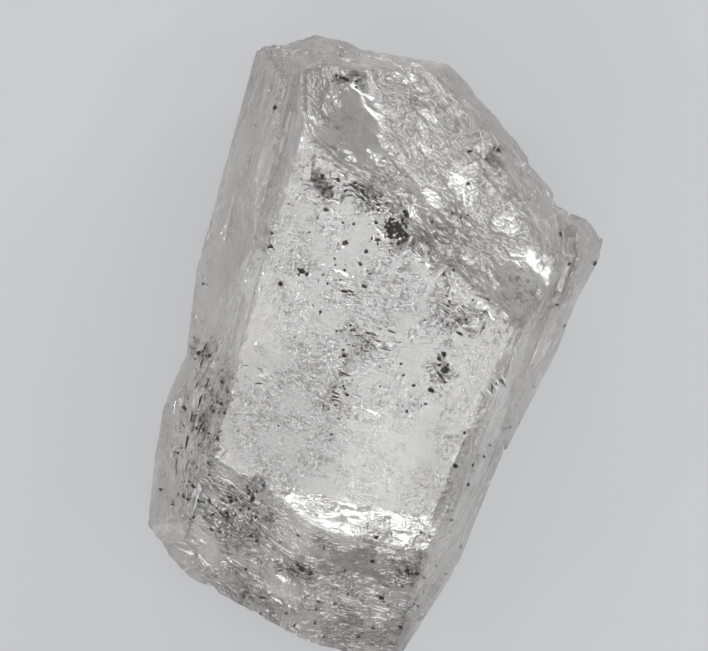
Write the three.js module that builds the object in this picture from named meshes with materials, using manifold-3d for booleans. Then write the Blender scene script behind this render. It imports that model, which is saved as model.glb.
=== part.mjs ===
// A rough diamond: one broken, etched crystal lying on its flattest cleavage face.
// Units are millimetres. +Y runs along the crystal's length and +Z is up, away from the face it lies on.
// While the crystal is being shaped the plan's origin is near the middle of the outline. At the end the crystal
// is moved so that the origin is under the middle of its box, on the face it rests on.

import * as THREE from 'three';
import { mergeVertices } from 'three/addons/utils/BufferGeometryUtils.js';
import Module from 'manifold-3d';

// Driving dimensions
const LENGTH = 7.9;
const WIDTH = 5.3;
const THICKNESS = 4.15; // where the top is highest
const BLOCK = 24; // side of the cutting blocks, larger than the crystal
const SAME_POINT = 0.001; // corners closer together than this become one
const LAYER_REACH = 0.3; // how far layers and knobs may stand out of the main block
const SEED = 1720;

// The crystal grew as a main block with a few thinner layers and knobs on its sides. Each is a convex block with
// these faces. A face passes through a line in plan, from one point to another, at the stated height, and leans
// inwards above it by so many degrees from upright. A negative lean undercuts the block below the line, and 90
// makes a level face. The outside lies to the left of the way from one point to the other.
const BLOCKS = {
  main: [
    { name: 'top', from: [1, 0], to: [-1, -0.5], height: 4.06, lean: 88.4 },
    { name: 'left face', from: [-2.03, -3.15], to: [-2.32, -0.48], height: 1.7, lean: 15 },
    { name: 'left band', from: [-1.64, -3.4], to: [-2.17, 0.9], height: 3.68, lean: 41 },
    { name: 'left band, top end', from: [-2.2, 0.0], to: [-2.3, 3.2], height: 3.62, lean: 37 },
    { name: 'left ridge', from: [-1.56, -3.0], to: [-2.04, 1.0], height: 3.97, lean: 62 },
    { name: 'left undercut', from: [-2.04, -3.2], to: [-2.72, 3.1], height: 1.62, lean: -31 },
    { name: 'top corner, left', from: [-2.89, 3.05], to: [-2.55, 3.39], height: 2.1, lean: 9 },
    { name: 'top corner', from: [-2.56, 3.29], to: [-2.1, 3.47], height: 2.1, lean: 12 },
    { name: 'top end', from: [-2.3, 3.47], to: [-0.5, 3.82], height: 2.15, lean: 14 },
    { name: 'top end strip', from: [-2.3, 3.26], to: [-0.3, 3.5], height: 3.5, lean: 48 },
    { name: 'top undercut', from: [-2.6, 3.38], to: [-0.3, 3.86], height: 2.1, lean: -21 },
    { name: 'break', from: [-1.6, 2.28], to: [2.1, 0.58], height: 4.12, lean: 49 },
    { name: 'broken edge, upper', from: [-0.42, 3.87], to: [0.56, 3.35], height: 2.1, lean: 24 },
    { name: 'broken edge, lower', from: [0.515, 3.46], to: [1.535, 2.74], height: 2.1, lean: 27 },
    { name: 'broken edge, slope', from: [-0.38, 3.65], to: [1.92, 2.23], height: 2.75, lean: 42 },
    { name: 'break undercut', from: [-0.42, 3.9], to: [2.1, 2.36], height: 2.05, lean: -27 },
    { name: 'right side', from: [2.17, 2.2], to: [2.03, -2.3], height: 1.7, lean: 9 },
    { name: 'right strip', from: [2.2, 1.7], to: [1.9, -2.5], height: 3.3, lean: 27 },
    { name: 'right ridge', from: [2.08, 1.2], to: [1.7, -2.4], height: 3.82, lean: 58 },
    { name: 'right foot', from: [2.08, -2.2], to: [1.88, -3.06], height: 1.6, lean: 10 },
    { name: 'right foot corner', from: [1.9, -2.95], to: [1.64, -3.8], height: 1.5, lean: 13 },
    { name: 'right undercut', from: [2.2, 2.3], to: [2.0, -3.0], height: 1.6, lean: -24 },
    { name: 'end face, right', from: [1.74, -3.87], to: [0.4, -4.06], height: 1.3, lean: 32 },
    { name: 'end face', from: [0.5, -4.09], to: [-1.6, -3.66], height: 1.25, lean: 29 },
    { name: 'end bevel', from: [1.6, -2.5], to: [-0.4, -2.84], height: 3.62, lean: 58 },
    { name: 'end bevel, left', from: [0.3, -2.86], to: [-1.6, -2.92], height: 3.5, lean: 50 },
    { name: 'foot corner, left', from: [-1.52, -3.69], to: [-2.08, -3.14], height: 1.4, lean: 17 },
    { name: 'end undercut', from: [1.7, -4.06], to: [-1.6, -3.82], height: 1.2, lean: -38 },
    { name: 'end undercut, left', from: [-1.3, -3.95], to: [-2.15, -3.02], height: 1.3, lean: -34 },
  ],
  'upper left layer': [
    { name: 'upper layer front', from: [-2.58, 0.2], to: [-2.78, 2.8], height: 1.7, lean: 14 },
    { name: 'foot', from: [-2.37, -0.42], to: [-2.585, 0.26], height: 1.7, lean: 22 },
    { name: 'corner', from: [-2.9, 2.92], to: [-2.6, 3.28], height: 2.0, lean: 11 },
    { name: 'top end', from: [-2.9, 3.12], to: [-1.8, 3.2], height: 2.0, lean: 11 },
    { name: 'upper edge', from: [-2.26, -0.6], to: [-2.46, 3.2], height: 3.28, lean: 63 },
    { name: 'lower edge', from: [-2.56, 0.2], to: [-2.78, 2.8], height: 1.5, lean: -36 },
    { name: 'inside', from: [-1.8, 3], to: [-1.8, -3], height: 2, lean: 0 },
  ],
  'lower left layer': [
    { name: 'lower layer front', from: [-2.22, -2.5], to: [-2.37, -1.72], height: 1.7, lean: 16 },
    { name: 'upper end', from: [-2.385, -1.8], to: [-2.28, -0.85], height: 1.7, lean: 12 },
    { name: 'foot', from: [-1.94, -3.36], to: [-2.225, -2.44], height: 1.7, lean: 17 },
    { name: 'lower end', from: [-1.4, -3.42], to: [-2.1, -3.2], height: 1.8, lean: 14 },
    { name: 'upper edge', from: [-1.9, -3.2], to: [-2.06, -0.8], height: 2.98, lean: 57 },
    { name: 'lower edge', from: [-2.08, -3.2], to: [-2.36, -0.8], height: 1.45, lean: -34 },
    { name: 'far end', from: [-2.6, -0.5], to: [-1.4, -0.5], height: 2, lean: 0 },
    { name: 'inside', from: [-1.5, 0], to: [-1.5, -4], height: 2, lean: 0 },
  ],
  'right lip': [
    { name: 'lip front', from: [2.32, 2.3], to: [2.3, 0.78], height: 1.6, lean: 6 },
    { name: 'foot', from: [2.305, 0.84], to: [2.09, -0.7], height: 1.6, lean: 9 },
    { name: 'top end', from: [1.4, 2.5], to: [2.6, 2.1], height: 1.8, lean: 14 },
    { name: 'lower end', from: [2.4, -0.6], to: [1.2, -0.7], height: 1.8, lean: 14 },
    { name: 'upper edge', from: [2.25, 2.0], to: [2.1, -0.6], height: 2.42, lean: 60 },
    { name: 'lower edge', from: [2.32, 2.0], to: [2.18, -0.5], height: 1.45, lean: -31 },
    { name: 'inside', from: [1.5, -2], to: [1.5, 3], height: 2, lean: 0 },
  ],
  'right knob': [
    { name: 'broken side', from: [1.84, 1.7], to: [1.74, 2.46], height: 2.0, lean: 17 },
    { name: 'top end', from: [1.6, 2.46], to: [2.1, 2.53], height: 1.9, lean: 15 },
    { name: 'corner', from: [2.04, 2.53], to: [2.36, 2.26], height: 1.9, lean: 17 },
    { name: 'knob front', from: [2.345, 2.4], to: [2.3, 1.4], height: 1.9, lean: 8 },
    { name: 'foot', from: [2.36, 2.2], to: [2.27, 1.7], height: 1.9, lean: 8 },
    { name: 'upper facet', from: [1.7, 2.3], to: [2.3, 2.0], height: 2.86, lean: 64 },
    { name: 'lower edge', from: [1.6, 2.5], to: [2.4, 2.3], height: 1.6, lean: -33 },
    { name: 'inside', from: [2.6, 1.3], to: [1.4, 1.3], height: 2, lean: 0 },
  ],
  'top bump': [
    { name: 'left side', from: [-2.34, 2.8], to: [-2.34, 3.4], height: 2.4, lean: 20 },
    { name: 'corner', from: [-2.34, 3.32], to: [-2.18, 3.56], height: 2.3, lean: 18 },
    { name: 'top end', from: [-2.24, 3.56], to: [-1.66, 3.66], height: 2.3, lean: 16 },
    { name: 'broken side', from: [-1.8, 3.66], to: [-1.3, 3.5], height: 2.3, lean: 20 },
    { name: 'upper facet', from: [-2.3, 3.4], to: [-1.4, 3.48], height: 3.42, lean: 60 },
    { name: 'lower edge', from: [-2.3, 3.58], to: [-1.4, 3.68], height: 2.2, lean: -32 },
    { name: 'inside', from: [-1.3, 2.9], to: [-2.4, 2.9], height: 2, lean: 0 },
  ],
};

// Thin terraces with ragged outlines, left standing on the left side's layers: the face, the middle in plan, the
// length along the crystal, the width, and how far the terrace is turned.
const TERRACES = [
  { face: 'upper layer front', at: [-2.48, 1.3], length: 1.7, width: 0.5, turn: 0 },
  { face: 'lower layer front', at: [-2.14, -1.9], length: 1.2, width: 0.5, turn: 0 },
];
const TERRACE_RISE = [0.018, 0.036];
const TERRACE_CORNERS = 13;
const RAGGED = [0.6, 1]; // share of the full half-width that a corner reaches

// Sunk steps and splinters: flat cuts that run out on one side and end in a step on the other. Each set lies on
// one face, inside a window in plan, with its length along a bearing from +X.
const STEPS = [
  {
    face: 'break', x: [-1.6, 1.9], y: [1.0, 3.5], count: 46, bearing: -33,
    lengths: [0.3, 1.0], widths: [0.14, 0.4], sink: 0.1,
  },
  {
    face: 'broken edge, slope', x: [-0.3, 1.9], y: [2.1, 3.6], count: 16, bearing: -31,
    lengths: [0.3, 0.9], widths: [0.1, 0.26], sink: 0.06,
  },
  {
    face: 'broken edge, lower', x: [0.4, 1.6], y: [2.3, 3.5], count: 6, bearing: -35,
    lengths: [0.3, 0.7], widths: [0.1, 0.2], sink: 0.05,
  },
  {
    face: 'end face', x: [-1.4, 0.6], y: [-3.9, -2.9], count: 12, bearing: 20,
    lengths: [0.2, 0.5], widths: [0.16, 0.4], sink: 0.05,
  },
  {
    face: 'end face, right', x: [0.2, 1.5], y: [-3.9, -2.8], count: 8, bearing: -64,
    lengths: [0.25, 0.6], widths: [0.16, 0.36], sink: 0.04,
  },
  {
    face: 'end bevel, left', x: [-1.3, 0.1], y: [-3.0, -2.4], count: 6, bearing: 4,
    lengths: [0.25, 0.6], widths: [0.1, 0.24], sink: 0.04,
  },
  {
    face: 'left face', x: [-2.6, -1.7], y: [-3.0, 3.0], count: 6, bearing: 97,
    lengths: [0.4, 1.0], widths: [0.1, 0.24], sink: 0.04,
  },
  {
    face: 'upper layer front', x: [-2.8, -2.1], y: [0.2, 2.9], count: 8, bearing: 95,
    lengths: [0.4, 1.2], widths: [0.1, 0.26], sink: 0.04,
  },
  {
    face: 'lower layer front', x: [-2.4, -1.8], y: [-3.0, -1.5], count: 6, bearing: 98,
    lengths: [0.3, 0.9], widths: [0.1, 0.26], sink: 0.04,
  },
  {
    face: 'right side', x: [1.9, 2.2], y: [-2.0, 1.6], count: 6, bearing: 92,
    lengths: [0.4, 1.2], widths: [0.1, 0.24], sink: 0.03,
  },
  {
    face: 'top end', x: [-2.2, -0.6], y: [3.2, 3.8], count: 7, bearing: 10,
    lengths: [0.3, 0.8], widths: [0.12, 0.3], sink: 0.04,
  },
  {
    face: 'top end strip', x: [-2.1, -0.8], y: [2.9, 3.6], count: 6, bearing: 0,
    lengths: [0.2, 0.5], widths: [0.1, 0.24], sink: 0.04,
  },
  {
    face: 'top', x: [-1.5, -0.5], y: [1.65, 2.25], count: 5, bearing: -28,
    lengths: [0.3, 0.8], widths: [0.14, 0.36], sink: 0.06,
  },
  {
    face: 'top', x: [-0.6, 0.6], y: [1.15, 1.8], count: 5, bearing: -25,
    lengths: [0.3, 0.8], widths: [0.14, 0.36], sink: 0.06,
  },
  {
    face: 'top', x: [0.5, 1.7], y: [0.7, 1.35], count: 5, bearing: -27,
    lengths: [0.3, 0.8], widths: [0.14, 0.36], sink: 0.06,
  },
  {
    face: 'top', x: [-1.3, 1.3], y: [-2.1, 1.0], count: 8, bearing: -12,
    lengths: [0.3, 0.7], widths: [0.1, 0.24], sink: 0.02,
  },
];
const STEP_CORNERS = 6;
const STEP_TILT = [4, 13]; // degrees
const STEP_SWING = [-14, 14]; // degrees away from the bearing
const STEP_ROLL = [-4, 4]; // degrees along its length
const STEP_REVERSED = 0.3; // share of the steps that face the other way
const LEAST_SINK = 0.005;
const STEP_MARGIN = 0.03; // from the face's own edges

// Smooth bowls left where flakes broke away: a point in the plane of a face, the bowl's radius and depth.
const BOWLS = [
  {
    name: 'dark window', face: 'break', at: [-1.25, 2.75],
    radius: 0.7, depth: 0.09, stretch: [0.9, 1.2], turn: 20,
  },
  {
    name: 'right window', face: 'break', at: [1.66, 1.4],
    radius: 0.62, depth: 0.09, stretch: [1.3, 0.9], turn: 10,
  },
  {
    name: 'upper bowl', face: 'break', at: [-0.2, 2.62],
    radius: 0.72, depth: 0.09, stretch: [1.1, 1.1], turn: -30,
  },
  {
    name: 'middle bowl', face: 'break', at: [0.75, 1.98],
    radius: 0.74, depth: 0.11, stretch: [0.8, 1.3], turn: 56,
  },
  {
    name: 'outer bowl', face: 'broken edge, slope', at: [0.4, 3.0],
    radius: 0.7, depth: 0.08, stretch: [0.7, 1.4], turn: 58,
  },
  {
    name: 'knob notch', face: 'broken edge, slope', at: [1.7, 2.45],
    radius: 0.3, depth: 0.13, stretch: [1, 1], turn: 0,
  },
  {
    name: 'end window', face: 'end face, right', at: [0.72, -3.05],
    radius: 0.4, depth: 0.06, stretch: [1.3, 0.9], turn: 20,
  },
  {
    name: 'left shoulder', face: 'upper layer front', at: [-2.55, 2.3],
    radius: 0.4, depth: 0.08, stretch: [1, 1.6], turn: 0,
  },
  {
    name: 'under the break', face: 'break undercut', at: [0.9, 2.75],
    radius: 0.8, depth: 0.14, stretch: [1.3, 0.9], turn: 0,
  },
  {
    name: 'back of the top end', face: 'top undercut', at: [-1.4, 3.4],
    radius: 0.7, depth: 0.12, stretch: [1.3, 0.8], turn: 0,
  },
];
const BOWL_RINGS = 5;
const BOWL_SIDES = 18;

// Small chips knocked out of the edges: the middle of each chip and its radius.
const CHIPS = [
  { at: [1.68, 2.64, 2.15], radius: 0.17 },
  { at: [-1.3, 3.74, 2.2], radius: 0.11 },
  { at: [0.28, 3.58, 2.2], radius: 0.1 },
  { at: [1.16, 3.02, 2.2], radius: 0.12 },
  { at: [-2.8, 2.2, 1.8], radius: 0.1 },
  { at: [-2.72, 1.3, 1.75], radius: 0.09 },
  { at: [-2.4, -0.5, 1.8], radius: 0.13 },
  { at: [-1.78, -3.52, 1.5], radius: 0.15 },
  { at: [-0.95, -3.86, 1.25], radius: 0.1 },
  { at: [-0.3, -3.98, 1.3], radius: 0.09 },
  { at: [2.14, -0.72, 1.7], radius: 0.1 },
  { at: [2.06, -1.5, 1.7], radius: 0.08 },
  { at: [2.08, -2.4, 1.6], radius: 0.11 },
  { at: [1.86, -3.2, 1.5], radius: 0.1 },
  { at: [-1.66, -1.9, 4.0], radius: 0.14 },
  { at: [-1.95, 0.2, 3.97], radius: 0.15 },
  { at: [-2.14, 1.9, 3.94], radius: 0.13 },
  { at: [1.98, -0.2, 3.84], radius: 0.12 },
  { at: [1.84, -1.55, 3.84], radius: 0.12 },
  { at: [0.9, -2.2, 4.02], radius: 0.13 },
  { at: [-0.85, -2.3, 4.0], radius: 0.14 },
  { at: [0.3, -2.75, 3.7], radius: 0.12 },
];
const CHIP_STRETCH = [0.7, 1.6];
const ANY_TURN = [0, Math.PI];

// Long grooves on the steep sides, which run along the crystal.
const GROOVES = [
  {
    face: 'left face', count: 9, x: [-2.5, -1.7], y: [-2.8, 2.8],
    depth: [0.015, 0.035], lengths: [0.5, 1.2],
  },
  {
    face: 'upper layer front', count: 12, x: [-2.8, -2.2], y: [0.2, 2.9],
    depth: [0.015, 0.045], lengths: [0.6, 1.8],
  },
  {
    face: 'lower layer front', count: 8, x: [-2.4, -1.8], y: [-3.0, -1.5],
    depth: [0.015, 0.04], lengths: [0.5, 1.4],
  },
  {
    face: 'left band', count: 5, x: [-2.1, -1.6], y: [-2.8, 0.6],
    depth: [0.015, 0.03], lengths: [0.7, 1.8],
  },
  {
    face: 'right side', count: 9, x: [1.9, 2.15], y: [-2.0, 1.4],
    depth: [0.015, 0.035], lengths: [0.7, 2.2],
  },
  {
    face: 'right strip', count: 4, x: [1.8, 2.2], y: [-1.9, 1.2],
    depth: [0.01, 0.025], lengths: [0.7, 1.8],
  },
];
const GROOVE_SWING = [-3, 3]; // degrees away from the face's own bearing
const GROOVE_MARGIN = 0.05;

// Etch marks on the top: triangular pits and low triangular hillocks, all turned the same way.
const PITS = { count: 44, turn: 14, sizes: [0.04, 0.13], slope: 0.36, up: false };
const HILLOCKS = { count: 20, turn: 74, sizes: [0.08, 0.2], slope: 0.22, up: true };
const MARK_TALL = 4; // how many times taller the whole cone is
const ETCHED = { x: [-1.75, 1.75], y: [-2.3, 1.9] }; // the part of the top that they lie on
const MARK_MARGIN = 0.2;
const TRIES = 60; // places tried for each one that is wanted

const wasm = await Module();
wasm.setup();

// A repeatable source of numbers from 0 to 1.
let state = SEED;
function random() {
  state = (state + 0x6d2b79f5) | 0;
  let mixed = Math.imul(state ^ (state >>> 15), 1 | state);
  mixed = (mixed + Math.imul(mixed ^ (mixed >>> 7), 61 | mixed)) ^ mixed;
  return ((mixed ^ (mixed >>> 14)) >>> 0) / 2 ** 32;
}

function between([low, high]) {
  return low + (high - low) * random();
}

// The corners of every triangle that still has three different ones.
function wholeTriangles(index) {
  const corners = [];
  for (let i = 0; i < index.count; i += 3) {
    const [a, b, c] = [0, 1, 2].map((k) => index.getX(i + k));
    if (a !== b && b !== c && c !== a) corners.push(a, b, c);
  }
  return corners;
}

// A solid for joining and cutting, from a three.js geometry moved by a matrix.
function solidFrom(geometry, matrix) {
  const bare = new THREE.BufferGeometry();
  const loose = geometry.index ? geometry.toNonIndexed() : geometry;
  bare.setAttribute('position', loose.getAttribute('position').clone());
  bare.applyMatrix4(matrix);
  const merged = mergeVertices(bare, SAME_POINT / 100);
  const mesh = new wasm.Mesh({
    numProp: 3,
    vertProperties: new Float32Array(merged.attributes.position.array),
    triVerts: new Uint32Array(wholeTriangles(merged.index)),
  });
  return new wasm.Manifold(mesh);
}

// Outward normal of a face in the lists above.
function normalOf({ from, to, lean }) {
  const way = new THREE.Vector2(to[0] - from[0], to[1] - from[1]).normalize();
  const tilt = THREE.MathUtils.degToRad(lean);
  return new THREE.Vector3(-way.y * Math.cos(tilt), way.x * Math.cos(tilt), Math.sin(tilt));
}

function pointOf({ from, height }) {
  return new THREE.Vector3(from[0], from[1], height);
}

// Bearing in plan of the line that a face passes through.
function bearingOf({ from, to }) {
  return THREE.MathUtils.radToDeg(Math.atan2(to[1] - from[1], to[0] - from[0]));
}

function faceCalled(name) {
  return Object.values(BLOCKS).flat().find((face) => face.name === name);
}

// The point of a face that lies over a point in plan.
function over(face, [x, y]) {
  const [normal, start] = [normalOf(face), pointOf(face)];
  const z = start.z - (normal.x * (x - start.x) + normal.y * (y - start.y)) / normal.z;
  return new THREE.Vector3(x, y, z);
}

// Whether a point of one face is a margin away from its block's other faces and isn't covered by another block.
function isOpen(point, own, margin) {
  return Object.values(BLOCKS).every((faces) => {
    const isOwn = faces.includes(own);
    const reach = isOwn ? -margin : margin;
    const heightOver = (face) => normalOf(face).dot(point.clone().sub(pointOf(face)));
    const within = faces.every((face) => face === own || heightOver(face) < reach);
    return within === isOwn;
  });
}

// The matrix of a tool that stands on a point with its own +Y along a normal and its +Z along a bearing in plan.
function standing(point, normal, bearing, scale) {
  const heading = THREE.MathUtils.degToRad(bearing);
  const along = new THREE.Vector3(Math.cos(heading), Math.sin(heading), 0);
  along.addScaledVector(normal, -along.dot(normal)).normalize();
  const across = new THREE.Vector3().crossVectors(normal, along);
  const turned = new THREE.Matrix4().makeBasis(across, normal, along);
  return turned.scale(new THREE.Vector3(...scale)).setPosition(point);
}

// The same face, moved outwards.
function movedOut(face, distance) {
  const by = normalOf(face).multiplyScalar(distance);
  const [from, to] = [face.from, face.to].map(([x, y]) => [x + by.x, y + by.y]);
  return { ...face, from, to, height: face.height + by.z };
}

// A layer or knob reaches no further than a little way out of the main block.
function layerFaces(faces) {
  return [...faces, ...BLOCKS.main.map((face) => movedOut(face, LAYER_REACH))];
}

// A convex block, cut from a larger one by its faces.
function convexBlock(faces) {
  const rough = new THREE.BoxGeometry(WIDTH * 1.3, LENGTH * 1.3, THICKNESS * 1.5);
  let block = solidFrom(rough, new THREE.Matrix4().makeTranslation(0, 0, THICKNESS * 0.75));
  for (const face of faces) {
    const normal = normalOf(face);
    const middle = pointOf(face).addScaledVector(normal, BLOCK / 2);
    const cutter = new THREE.BoxGeometry(BLOCK, BLOCK, BLOCK);
    block = block.subtract(solidFrom(cutter, standing(middle, normal, bearingOf(face), [1, 1, 1])));
  }
  return block;
}

// A plate with a ragged outline, which lies across its own +Y from 0 up to its thickness.
function raggedPlate(width, length, thickness, corners) {
  const outline = [];
  for (let i = 0; i < corners; i += 1) {
    const angle = ((i + between([-0.25, 0.25])) / corners) * 2 * Math.PI;
    const reach = between(RAGGED) / 2;
    outline.push(new THREE.Vector2(Math.cos(angle) * reach * width, Math.sin(angle) * reach * length));
  }
  const plate = new THREE.ExtrudeGeometry(new THREE.Shape(outline), { depth: thickness, bevelEnabled: false });
  return plate.rotateX(Math.PI / 2).translate(0, thickness, 0);
}

// A terrace is a thin plate half sunk into a face.
function terraceTool({ face: name, at, length, width, turn }) {
  const face = faceCalled(name);
  const rise = between(TERRACE_RISE);
  const plate = raggedPlate(width, length, rise * 2, TERRACE_CORNERS).translate(0, -rise, 0);
  return solidFrom(plate, standing(over(face, at), normalOf(face), 90 + turn, [1, 1, 1]));
}

// Points of a face that are inside a window in plan and away from the block's other faces.
function pointsOn(face, { count, x, y }, margin) {
  const points = [];
  for (let tries = 0; points.length < count && tries < count * TRIES; tries += 1) {
    const point = over(face, [between(x), between(y)]);
    if (isOpen(point, face, margin)) points.push(point);
  }
  return points;
}

function stepTools({ face: name, bearing, lengths, widths, sink, ...window }) {
  const face = faceCalled(name);
  return pointsOn(face, window, STEP_MARGIN).map((point) => {
    const [length, width] = [between(lengths), between(widths)];
    const heading = bearing + between(STEP_SWING);
    const tilt = THREE.MathUtils.degToRad(between(STEP_TILT)) * (random() < STEP_REVERSED ? -1 : 1);
    const lie = standing(point, normalOf(face), heading, [1, 1, 1]);
    lie.multiply(new THREE.Matrix4().makeRotationZ(tilt));
    lie.multiply(new THREE.Matrix4().makeRotationX(THREE.MathUtils.degToRad(between(STEP_ROLL))));
    lie.multiply(new THREE.Matrix4().makeTranslation(0, -between([LEAST_SINK, sink]), 0));
    return solidFrom(raggedPlate(width * 1.2, length * 1.2, 1, STEP_CORNERS), lie);
  });
}

// A bowl's tool is a flat lens.
function bowlTool({ face: name, at, radius, depth, stretch, turn }) {
  const face = faceCalled(name);
  const profile = [new THREE.Vector2(0, -depth)];
  for (let i = 1; i <= BOWL_RINGS; i += 1) {
    const share = i / BOWL_RINGS;
    profile.push(new THREE.Vector2(radius * share, -depth * (1 - share ** 2)));
  }
  profile.push(new THREE.Vector2(radius * 1.25, depth * 0.6), new THREE.Vector2(0, depth * 3));
  const matrix = standing(over(face, at), normalOf(face), 90 + turn, [stretch[0], 1, stretch[1]]);
  return solidFrom(new THREE.LatheGeometry(profile, BOWL_SIDES), matrix);
}

function chipTool({ at, radius }) {
  const turned = new THREE.Euler(between(ANY_TURN), between(ANY_TURN), between(ANY_TURN));
  const stretch = new THREE.Vector3(between(CHIP_STRETCH), between(CHIP_STRETCH), between(CHIP_STRETCH));
  const matrix = new THREE.Matrix4().compose(
    new THREE.Vector3(...at), new THREE.Quaternion().setFromEuler(turned), stretch);
  return solidFrom(new THREE.IcosahedronGeometry(radius, 0), matrix);
}

// A groove is a long spindle laid half into a face, so that it tapers to both ends.
function grooveTools({ face: name, depth, lengths, ...window }) {
  const face = faceCalled(name);
  return pointsOn(face, window, GROOVE_MARGIN).map((point) => {
    const [deep, bearing] = [between(depth), bearingOf(face) + between(GROOVE_SWING)];
    const matrix = standing(point, normalOf(face), bearing, [deep * 1.4, deep, between(lengths) / 2]);
    return solidFrom(new THREE.OctahedronGeometry(1, 0), matrix);
  });
}

// A mark is the point of a tall three-sided cone, which cuts a pit or stands up as a hillock.
function markTools({ count, turn, sizes, slope, up }) {
  const top = faceCalled('top');
  return pointsOn(top, { count, ...ETCHED }, MARK_MARGIN).map((point) => {
    const size = sizes[0] + (sizes[1] - sizes[0]) * random() ** 2;
    const [height, tall] = [size * slope, size * slope * MARK_TALL];
    const normal = normalOf(top).multiplyScalar(up ? 1 : -1);
    const middle = point.addScaledVector(normal, height - tall / 2);
    const cone = new THREE.ConeGeometry(size * MARK_TALL, tall, 3);
    return solidFrom(cone, standing(middle, normal, turn, [1, 1, 1]));
  });
}

function roughDiamond() {
  let crystal = convexBlock(BLOCKS.main);
  const raised = [...TERRACES.map(terraceTool), ...markTools(HILLOCKS)];
  for (const layer of Object.values(BLOCKS).slice(1)) raised.push(convexBlock(layerFaces(layer)));
  for (const piece of raised) crystal = crystal.add(piece);
  const cuts = [...BOWLS.map(bowlTool), ...STEPS.flatMap(stepTools), ...GROOVES.flatMap(grooveTools)];
  cuts.push(...CHIPS.map(chipTool), ...markTools(PITS));
  for (const cut of cuts) crystal = crystal.subtract(cut);
  return crystal;
}

// Crumbs that the cuts leave loose fall away: only the largest set of connected triangles stays.
function withoutCrumbs(corners, count) {
  const lead = Array.from({ length: count }, (_, i) => i);
  const leaderOf = (corner) => {
    let at = corner;
    while (lead[at] !== at) {
      lead[at] = lead[lead[at]];
      at = lead[at];
    }
    return at;
  };
  for (let i = 0; i < corners.length; i += 3) {
    lead[leaderOf(corners[i + 1])] = leaderOf(corners[i]);
    lead[leaderOf(corners[i + 2])] = leaderOf(corners[i]);
  }
  const sizes = new Map();
  for (const corner of corners) sizes.set(leaderOf(corner), (sizes.get(leaderOf(corner)) ?? 0) + 1);
  const largest = [...sizes].sort((a, b) => b[1] - a[1])[0][0];
  return corners.filter((corner) => leaderOf(corner) === largest);
}

// Two triangles that lie back to back hold nothing between them, so both are left out.
function withoutFolds(corners) {
  const kept = new Map();
  for (let i = 0; i < corners.length; i += 3) {
    const [a, b, c] = corners.slice(i, i + 3);
    const low = Math.min(a, b, c);
    const turned = low === a ? [a, b, c] : low === b ? [b, c, a] : [c, a, b];
    const back = [turned[0], turned[2], turned[1]].join();
    if (kept.has(back)) kept.delete(back);
    else kept.set(turned.join(), turned);
  }
  return [...kept.values()].flat();
}

// The finished solid as a three.js geometry whose origin is under the middle of its box.
function geometryOf(crystal) {
  const { vertProperties, triVerts, numProp } = crystal.getMesh();
  const loose = new THREE.BufferGeometry();
  loose.setAttribute('position', new THREE.BufferAttribute(new Float32Array(vertProperties), numProp));
  loose.setIndex(new THREE.BufferAttribute(new Uint32Array(triVerts), 1));
  loose.computeBoundingBox();
  const { min, max } = loose.boundingBox;
  loose.translate(-(min.x + max.x) / 2, -(min.y + max.y) / 2, -min.z);
  const geometry = mergeVertices(loose, SAME_POINT);
  const folded = wholeTriangles(geometry.index);
  geometry.setIndex(withoutCrumbs(withoutFolds(folded), geometry.attributes.position.count));
  geometry.computeVertexNormals();
  return geometry;
}

const stone = new THREE.Mesh(
  geometryOf(roughDiamond()),
  new THREE.MeshStandardMaterial({
    color: 0xb4b3b1, roughness: 0.35, metalness: 0, transparent: true, opacity: 0.6, flatShading: true,
  }),
);
stone.name = 'rough_diamond';

const part = new THREE.Group();
part.add(stone);

export default part;
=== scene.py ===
import math

import bmesh
import bpy
import numpy as np
from mathutils import Matrix, Vector


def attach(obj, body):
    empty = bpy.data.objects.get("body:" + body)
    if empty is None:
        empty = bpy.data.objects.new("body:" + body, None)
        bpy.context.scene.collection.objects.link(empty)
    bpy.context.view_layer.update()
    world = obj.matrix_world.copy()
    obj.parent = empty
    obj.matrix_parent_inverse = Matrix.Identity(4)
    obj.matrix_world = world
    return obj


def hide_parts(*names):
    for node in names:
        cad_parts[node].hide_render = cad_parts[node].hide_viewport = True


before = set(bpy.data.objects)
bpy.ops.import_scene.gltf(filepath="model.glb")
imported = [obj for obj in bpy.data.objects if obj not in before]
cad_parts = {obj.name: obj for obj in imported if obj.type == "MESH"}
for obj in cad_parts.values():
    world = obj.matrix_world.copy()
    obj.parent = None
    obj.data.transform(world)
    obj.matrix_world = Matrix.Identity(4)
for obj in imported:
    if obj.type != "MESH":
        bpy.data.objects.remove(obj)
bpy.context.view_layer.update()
scene = bpy.context.scene
mm = 0.001  # the frame is in metres, the shaping below is in millimetres
cameraTurn = math.radians(20)  # the crystal lies turned by this much in the picture
cameraMiddle = (0.205, 0.09)  # mm in the frame, where the camera's own axes start
print("frame loaded")


# Small helpers for node trees and meshes.

def makeNode(tree, kind, inputs=None, **settings):
    node = tree.nodes.new(kind)
    for name, value in settings.items():
        setattr(node, name, value)
    for name, value in (inputs or {}).items():
        if isinstance(value, bpy.types.NodeSocket):
            tree.links.new(value, node.inputs[name])
        else:
            node.inputs[name].default_value = value
    return node


def maths(tree, operation, *values):
    return makeNode(tree, "ShaderNodeMath", dict(enumerate(values)), operation=operation).outputs[0]


def chained(tree, operation, values):
    result = values[0]
    for value in values[1:]:
        result = maths(tree, operation, result, value)
    return result


def total(tree, *values):
    return chained(tree, "ADD", values)


def times(tree, *values):
    return chained(tree, "MULTIPLY", values)


def largest(tree, *values):
    return chained(tree, "MAXIMUM", values)


def vectorMaths(tree, operation, *values):
    node = makeNode(tree, "ShaderNodeVectorMath", dict(enumerate(values)), operation=operation)
    return node.outputs["Value" if operation == "DOT_PRODUCT" else "Vector"]


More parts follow.
